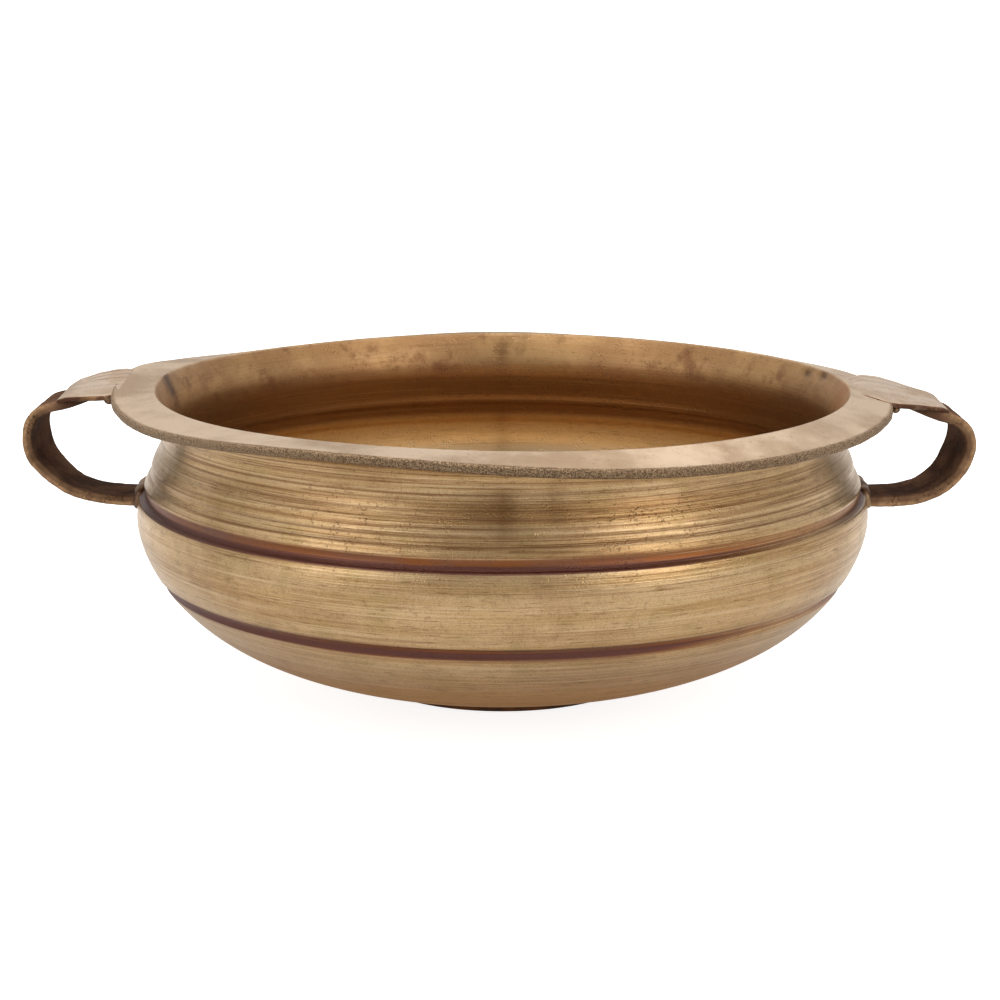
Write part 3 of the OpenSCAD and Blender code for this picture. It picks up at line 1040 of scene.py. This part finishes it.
# %% Stains and grooves
PATINA = hue(122, 84, 58)
HEAT_STAIN_AND_REFLECTION_BROWN = hue(112, 84, 68)
SMUDGE = hue(108, 76, 46)
GROOVE_ORANGE = hue(142, 86, 48)
GROOVE_PLUM = hue(124, 88, 72)
GROOVE_TARNISH_AND_SHADE = hue(98, 64, 56)


def stained(tree, colour, turning, tarnish, patches):
    """Patina by blotches and patches, partly painted shade, then the brown of
    brazing with a painted reflection beside each handle, and runs.
    """
    spots = piled_up(tree, 0.16, ((tarnish["Blotches"], 0.45), (patches, 0.35)))
    return lay_over(tree, colour, (
        # patina on the throat, partly painted shade
        (mark_of(tree, "throat"), spots, PATINA),
        # heat stains, and the painted reflection of each handle on the neck
        (mark_of(tree, "heat"), 0.8, HEAT_STAIN_AND_REFLECTION_BROWN),
        (mark_of(tree, "smudge"), plus(tree, turning["Fine"], 1.0, 0.1), SMUDGE),
    ))


def groove_masks(tree, turning):
    """Where a groove's slope and its core are, with borders that fray."""
    slope = plus(tree, turning["Fine"], 0.7, mark_of(tree, "groove"))
    core = plus(tree, turning["Fine"], 0.6, mark_of(tree, "core"))
    return between(tree, slope, 0.6, 1.2), between(tree, core, 0.7, 1.15)


def grooved(tree, colour, tarnish, slope, core):
    """The slope orange, going to plum in clouds and on the left; the core dark,
    partly tarnish and partly painted shade.
    """
    clouds = between(tree, tarnish["Clouds"], 0.44, 0.6)
    plum = plus(tree, clouds, 0.6, mark_of(tree, "cool"))
    colour = blend_colour(tree, slope, colour,
                          blend_colour(tree, plum, GROOVE_ORANGE, GROOVE_PLUM))
    return blend_colour(tree, core, colour, GROOVE_TARNISH_AND_SHADE)


# %% [markdown]
# The rim is what hands hold. Its top has gone grey and dull, its edge is rough
# and full of dirt, and casting pits show all over. A blush of copper and a
# dark notch are left inside the mouth, beside the two handles, and the two
# dents in the throat are darker too.

# %% The rim
RIM_GREY = hue(191, 168, 142)
RIM_DULL = hue(158, 132, 104)
RIM_BACK_SHADE = hue(134, 114, 84)
GRIT = hue(66, 48, 34)
COPPER = hue(186, 120, 66)
NOTCH_DARK = hue(70, 48, 38)


def rimmed(tree, colour, tarnish, top, edge, grit, pitted):
    """The flange's top in two greys, darker behind as painted shade, then grit and pits."""
    grey = blend_colour(tree, between(tree, tarnish["Clouds"], 0.4, 0.62), RIM_GREY, RIM_DULL)
    grey = lay_over(tree, grey, (
        (tarnish["Blotches"], 0.4, RIM_DULL),
        # painted shade on the far side of the flange top
        (mark_of(tree, "behind"), 0.8, RIM_BACK_SHADE),
    ))
    return lay_over(tree, blend_colour(tree, top, colour, grey), (
        (edge, 0.8, RIM_DULL),
        (grit, 0.8, GRIT),
        (pitted, 1.0, GRIT),
        (tarnish["Speckle"], 0.25, SCRATCH),
        (mark_of(tree, "copper"), 0.4, COPPER),
        (mark_of(tree, "dark_notch_and_dents"), 0.85, NOTCH_DARK),
    ))


# %% Material of the bowl
def turned_brass():
    """All the layers, the roughness that goes with them, and a fine relief."""
    material, tree, shader, place = metal("turned_brass", 0.36)
    turning = use_group(tree, TURNING, {"Place": place, "Walked": mark_of(tree, "walked")})
    tarnish = use_group(tree, TARNISH, {"Place": place, "Cloud size": 0.05})
    pits = use_group(tree, PITS, {"Place": place, "Size": 0.0013})["Pits"]
    neck, indoors = mark_of(tree, "neck"), mark_of(tree, "inside")
    top, edge = mark_of(tree, "flange_top"), mark_of(tree, "flange_edge")
    patches = between(tree, tarnish["Clouds"], 0.38, 0.58)
    slope, core = groove_masks(tree, turning)
    grit = share_of(tree, between(tree, tarnish["Grain"], 0.42, 0.62), edge)
    pitted = share_of(tree, pits, plus(tree, edge, 0.4, 0.2))

    colour = bare_metal(tree, turning, tarnish, indoors)
    colour = lathe_lines(tree, colour, turning, patches, neck, indoors)
    colour = stained(tree, colour, turning, tarnish, patches)
    colour = grooved(tree, colour, tarnish, slope, core)
    colour = rimmed(tree, colour, tarnish, top, edge, grit, pitted)

    # seen at a slant, the low belly stays warm and does not go white
    warm = blend_colour(tree, mark_of(tree, "low"), WHITE, BRASS_LIGHT)
    tree.links.new(warm, shader.inputs["Specular Tint"])

    rough = piled_up(tree, 0.24, (
        (turning["Fine"], 0.16), (top, 0.14), (slope, 0.12), (mark_of(tree, "behind"), 0.3),
        (mark_of(tree, "throat"), 0.12), (edge, 0.16)))
    worked = piled_up(tree, 0.45, ((top, -0.35), (neck, 0.35), (indoors, -0.30)))
    worked = calculate(tree, "MAXIMUM", worked, 0.0)
    holes = calculate(tree, "MAXIMUM", pitted, grit)
    finish_metal(tree, shader, colour, rough, (
        (share_of(tree, turning["Fine"], worked), 0.00030),
        (share_of(tree, turning["Broad"], worked), 0.0004),
        (tarnish["Clouds"], 0.0009),
        (tarnish["Grain"], 0.00005),
        (calculate(tree, "SUBTRACT", 1.0, holes), 0.0005),
    ))
    return material


# %% [markdown]
# ### Strips, foot and braze
#
# The plates are pale and handled smooth, with dirt in their ribs. The straps
# went dark brown in the fire and were never polished, except along the edges,
# where hands have worn them back to bronze; along the outer corner that bronze
# is partly a painted highlight. Braze is a yellower metal with a skin of oxide.

# %% Materials of the handles
PLATE_PALE = hue(196, 174, 152)
PLATE_TAN = hue(172, 146, 120)
PLATE_DIRT = hue(92, 64, 46)
PLATE_EDGE = hue(136, 100, 66)
EDGE_BROWN = hue(76, 46, 34)
STRAP_BROWN = hue(106, 78, 60)
STRAP_DARK = hue(72, 51, 38)
STRAP_WORN_AND_HIGHLIGHT = hue(192, 152, 112)
BRAZE_GOLD = hue(150, 122, 92)
BRAZE_BROWN = hue(112, 88, 70)
# painted shade: the foot's dark brown
FOOT_SHADE_BROWN = hue(104, 66, 42)


def clouded(tree, place, cloud, pit):
    """Clouds, blotches and pits for a small part, with their sizes in metres."""
    tarnish = use_group(tree, TARNISH, {"Place": place, "Cloud size": cloud})
    pits = use_group(tree, PITS, {"Place": place, "Size": pit})["Pits"]
    solid = calculate(tree, "SUBTRACT", 1.0, pits)
    return tarnish["Clouds"], tarnish["Blotches"], pits, solid


def plate_brass():
    """Pale on top, dirt in the ribs, and brown sides and underside."""
    material, tree, shader, place = metal("plate_brass", 0.45)
    clouds, blotches, pits, solid = clouded(tree, place, 0.02, 0.0014)
    side = blend_colour(tree, between(tree, clouds, 0.38, 0.52), PLATE_EDGE, EDGE_BROWN)
    on_side = between(tree, mark_of(tree, "rim_of_strip"), 0.15, 0.75)
    colour = blend_colour(tree, between(tree, clouds, 0.4, 0.6), PLATE_PALE, PLATE_TAN)
    colour = lay_over(tree, colour, (
        (mark_of(tree, "hollow"), 0.8, PLATE_DIRT),
        (on_side, 0.95, side),
        (mark_of(tree, "under"), 0.9, STRAP_BROWN),
        (blotches, 0.3, PLATE_TAN),
        (pits, 0.4, PLATE_DIRT),
    ))
    finish_metal(tree, shader, colour, plus(tree, clouds, 0.3, 0.28),
                 ((clouds, 0.0008), (solid, 0.0003)))
    return material


def strap_brass():
    """Dark brown scale, which is hardly metallic, rubbed to bronze on the edges,
    with a painted highlight on the outer corner.
    """
    material, tree, shader, place = metal("strap_brass", 0.5, 0.15)
    # scale scatters light: a clear reflection would turn it white at a slant
    shader.inputs["Specular IOR Level"].default_value = 0.0
    clouds, _, pits, solid = clouded(tree, place, 0.016, 0.0013)
    colour = blend_colour(tree, between(tree, clouds, 0.38, 0.62), STRAP_DARK, STRAP_BROWN)
    patchy = between(tree, noise(tree, place, 210.0, 5.0, 0.7), 0.38, 0.62)
    # wear on the corners, partly a painted highlight
    worn_and_highlit = share_of(tree, mark_of(tree, "corner"), plus(tree, patchy, 0.5, 0.35))
    colour = lay_over(tree, colour, ((worn_and_highlit, 1.0, STRAP_WORN_AND_HIGHLIGHT), (pits, 0.5, STRAP_DARK)))
    finish_metal(tree, shader, colour, plus(tree, clouds, 0.3, 0.38),
                 ((clouds, 0.001), (solid, 0.0005)))
    tree.links.new(plus(tree, worn_and_highlit, 0.75, 0.1), shader.inputs["Metallic"])
    return material


def plain_brass(name, light, dark, rough_low, cloud):
    """A small part in two tones of one metal, clouded and pitted."""
    material, tree, shader, place = metal(name, rough_low)
    clouds, _, pits, _ = clouded(tree, place, cloud, 0.0012)
    colour = blend_colour(tree, between(tree, clouds, 0.4, 0.6), light, dark)
    colour = lay_over(tree, colour, ((pits, 0.5, dark),))
    finish_metal(tree, shader, colour, plus(tree, clouds, 0.3, rough_low - 0.1),
                 ((clouds, 0.0007),))
    return material


# %% [markdown]
# ## Putting it together
#
# Each piece takes its material, names the engineering solid it stands for, and
# rides on the one body, because every joint of this bowl is brazed.

# %% Finish, replace and ride
finishes = {
    "turned_brass": turned_brass(),
    # the foot is coloured dark brown as painted shade, for the dark under the bowl
    "foot_brass": plain_brass("foot_brass", FOOT_SHADE_BROWN, STRAP_DARK, 0.5, 0.02),
    "pale_brass": plate_brass(),
    "dark_brass": strap_brass(),
    "braze": plain_brass("braze", BRAZE_GOLD, BRAZE_BROWN, 0.45, 0.008),
}
fittings = (
    (bowl, "turned_brass", "bowl_body"),
    (foot, "foot_brass", "foot_ring"),
    (left_plate, "pale_brass", "left_rim_plate"),
    (left_strap, "dark_brass", "left_handle_strap"),
    (bead_pieces["left_rim_bead"], "braze", "left_rim_braze"),
    (right_plate, "pale_brass", "right_rim_plate"),
    (right_strap, "dark_brass", "right_handle_strap"),
    (bead_pieces["right_rim_bead"], "braze", "right_rim_braze"),
    (bead_pieces["left_belly_bead"], "braze", "left_belly_braze"),
    (bead_pieces["right_belly_bead"], "braze", "right_belly_braze"),
)
for piece, slot_name, stands_for in fittings:
    piece.data.materials.append(finishes[slot_name])
    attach(piece, "root")
    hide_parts(stands_for)
    print(piece.name, "stands for", stands_for)


# %% [markdown]
# ## Floor and light
#
# Polished metal is mostly a picture of the room, so the light is half the
# material. Here it is a white room, dimmer in front, a wide panel overhead, and
# two soft panels in front, left and right, with a gap between them that shades
# the middle of the neck. The floor is plain white card. It glows a little, so
# that it looks evenly white, and what the brass mirrors of it is dark in front
# of the bowl and bright behind it.

# %% Floor
FLOOR_HALF = 40.0             # metres
FLOOR_Z = -0.0002             # just under the foot, so that the two never flicker
floor_mesh = bpy.data.meshes.new("floor")
corners = [(x * FLOOR_HALF, y * FLOOR_HALF, FLOOR_Z)
           for x, y in ((-1, -1), (1, -1), (1, 1), (-1, 1))]
floor_mesh.from_pydata(corners, [], [(0, 1, 2, 3)])
floor = bpy.data.objects.new("floor", floor_mesh)
bpy.context.scene.collection.objects.link(floor)


# %% White card
card = bpy.data.materials.new("white_card")
card.use_nodes = True
tree = card.node_tree
shader = tree.nodes["Principled BSDF"]
shader.inputs["Base Color"].default_value = (0.5, 0.5, 0.5, 1)
shader.inputs["Roughness"].default_value = 0.9
shader.inputs["Emission Color"].default_value = (1, 1, 1, 1)
place = add_node(tree, "ShaderNodeTexCoord").outputs["Object"]
away = add_node(tree, "ShaderNodeVectorMath", {0: place}, operation="LENGTH").outputs["Value"]
depth = add_node(tree, "ShaderNodeSeparateXYZ", {0: place}).outputs[1]
looked_at = plus(tree, between(tree, away, 0.10, 0.9), 0.14, 0.86)
mirrored = piled_up(tree, 0.35, ((between(tree, away, 0.12, 0.40), -0.31),
                                 (between(tree, depth, 0.0, 0.35), 0.45)))
seen = add_node(tree, "ShaderNodeLightPath").outputs["Is Camera Ray"]
glow = add_node(tree, "ShaderNodeMix", {0: seen, 2: mirrored, 3: looked_at},
                data_type="FLOAT").outputs[0]
tree.links.new(glow, shader.inputs["Emission Strength"])
floor_mesh.materials.append(card)
print("floor", 2 * FLOOR_HALF, "m wide")


# %% Panels
def panel(name, where, size, power, aim=(0, 0, 0.09)):
    """A soft panel lamp at where, facing aim."""
    light = bpy.data.lights.new(name, "AREA")
    light.shape = "RECTANGLE"
    light.size, light.size_y = size
    light.energy = power
    lamp = bpy.data.objects.new(name, light)
    lamp.location = where
    lamp.rotation_mode = "QUATERNION"
    lamp.rotation_quaternion = (Vector(aim) - Vector(where)).to_track_quat("-Z", "Y")
    bpy.context.scene.collection.objects.link(lamp)
    print("panel", name, power, "W")


panel("overhead", (0, 0.15, 1.9), (2.2, 2.2), 42)
panel("left_front", (-1.8, -1.5, 0.9), (1.3, 1.4), 9)
panel("right_front", (1.7, -1.6, 0.9), (1.3, 1.4), 13)


# %% Room
LEVEL_FRONT, LEVEL_BEHIND = 0.52, 0.80
room = bpy.data.worlds.new("white_room")
bpy.context.scene.world = room
room.use_nodes = True
tree = room.node_tree
tree.nodes.clear()
way = add_node(tree, "ShaderNodeTexCoord").outputs["Generated"]
parts = add_node(tree, "ShaderNodeSeparateXYZ", {0: way}).outputs
ahead = between(tree, parts[1], -0.95, -0.2)
level = add_node(tree, "ShaderNodeMapRange",
                 {0: ahead, 3: LEVEL_FRONT, 4: LEVEL_BEHIND}).outputs[0]
above = between(tree, calculate(tree, "ABSOLUTE", parts[2]), -0.02, 0.22)
level = share_of(tree, level, plus(tree, above, 0.3, 0.7))
seen = add_node(tree, "ShaderNodeLightPath").outputs["Is Camera Ray"]
shown = add_node(tree, "ShaderNodeMix", {0: seen, 2: level, 3: 1.0},
                 data_type="FLOAT").outputs[0]
light = add_node(tree, "ShaderNodeBackground", {0: (1, 1, 1, 1), 1: shown})
add_node(tree, "ShaderNodeOutputWorld", {0: light.outputs[0]})
bpy.context.scene.view_settings.view_transform = "Standard"
print("room from", LEVEL_FRONT, "in front to", LEVEL_BEHIND, "behind")
